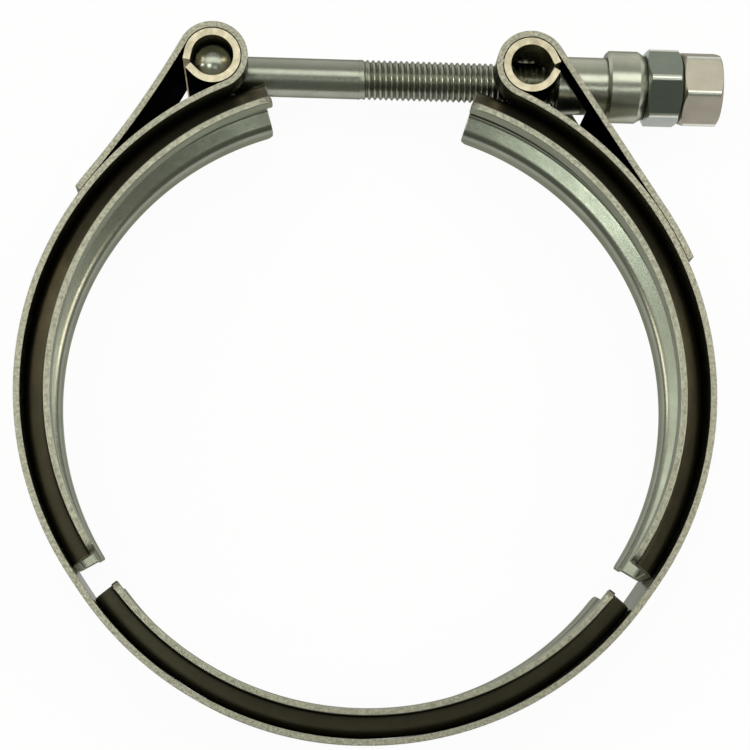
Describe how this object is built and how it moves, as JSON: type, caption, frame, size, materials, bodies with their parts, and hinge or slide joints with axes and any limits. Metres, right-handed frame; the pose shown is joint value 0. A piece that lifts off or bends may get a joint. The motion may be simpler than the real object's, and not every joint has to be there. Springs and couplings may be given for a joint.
{
  "type": "v band clamp",
  "caption": "V-band clamp: roll-formed retainers on a spring band, drawn shut round a pair of flanges by a T-bolt with a locked nut pair.",
  "frame": {"origin": "centre of the V groove, half way across its width, where the retainers share one centre when the clamp is shut", "axes": "+Z along the ring's axis, +Y from the centre towards the bolt, +X along the bolt from its head towards the nuts"},
  "size_m": [0.1105, 0.1129, 0.019],
  "materials": {
    "band": "rolled stainless strip with bright sheared edges",
    "retainers": "roll-formed stainless, satin",
    "trunnions": "bright rolled stainless",
    "t_bolt": "turned and rolled-thread stainless, satin",
    "sleeve": "turned stainless, satin",
    "nut_inner": "polished stainless",
    "nut_outer": "matt passivated stainless"
  },
  "bodies": {
    "ring": {"band": "band", "retainer_bottom": "retainers"},
    "left_jaw": {"retainer_left": "retainers"},
    "right_jaw": {"retainer_right": "retainers"},
    "bolt": {"t_bolt": "t_bolt", "trunnion_left": "trunnions"},
    "right_trunnion": {"trunnion_right": "trunnions"},
    "sleeve": {"sleeve": "sleeve"},
    "inner_nut": {"nut_inner": "nut_inner"},
    "outer_nut": {"nut_outer": "nut_outer"}
  },
  "joints": [
    {"name": "left_jaw_flex", "type": "hinge", "parent": "ring", "child": "left_jaw", "pos_m": [-0.04324, -0.0288, 0], "axis": [0, 0, -1], "range_deg": [0, 3], "deforming": ["band"]},
    {"name": "right_jaw_flex", "type": "hinge", "parent": "ring", "child": "right_jaw", "pos_m": [0.04324, -0.0288, 0], "axis": [0, 0, 1], "range_deg": [0, 3], "deforming": ["band"]},
    {"name": "bolt_pivot", "type": "hinge", "parent": "left_jaw", "child": "bolt", "pos_m": [-0.02509, 0.05414, 0], "axis": [0, 0, 1], "range_deg": [0, 3]},
    {"name": "right_trunnion_pivot", "type": "hinge", "parent": "right_jaw", "child": "right_trunnion", "pos_m": [0.02509, 0.05414, 0], "axis": [0, 0, -1], "range_deg": [0, 3]},
    {"name": "sleeve_slide", "type": "slide", "parent": "bolt", "child": "sleeve", "axis": [-1, 0, 0], "range_m": [0, 0.00863]},
    {"name": "inner_nut_spin", "type": "hinge", "parent": "sleeve", "child": "inner_nut", "pos_m": [0.045, 0.05414, 0], "axis": [-1, 0, 0], "range_deg": [0, 3425.99]},
    {"name": "outer_nut_spin", "type": "hinge", "parent": "sleeve", "child": "outer_nut", "pos_m": [0.052, 0.05414, 0], "axis": [-1, 0, 0], "range_deg": [0, 3425.99]}
  ],
  "couplings": [
    {"joint": "inner_nut_spin", "follows": "sleeve_slide", "rad_per_m": 6927.4},
    {"joint": "outer_nut_spin", "follows": "sleeve_slide", "rad_per_m": 6927.4},
    {"joint": "left_jaw_flex", "follows": "sleeve_slide", "rad_per_m": 6.0661},
    {"joint": "right_jaw_flex", "follows": "sleeve_slide", "rad_per_m": 6.0661},
    {"joint": "bolt_pivot", "follows": "sleeve_slide", "rad_per_m": 6.0661},
    {"joint": "right_trunnion_pivot", "follows": "sleeve_slide", "rad_per_m": 6.0661}
  ]
}
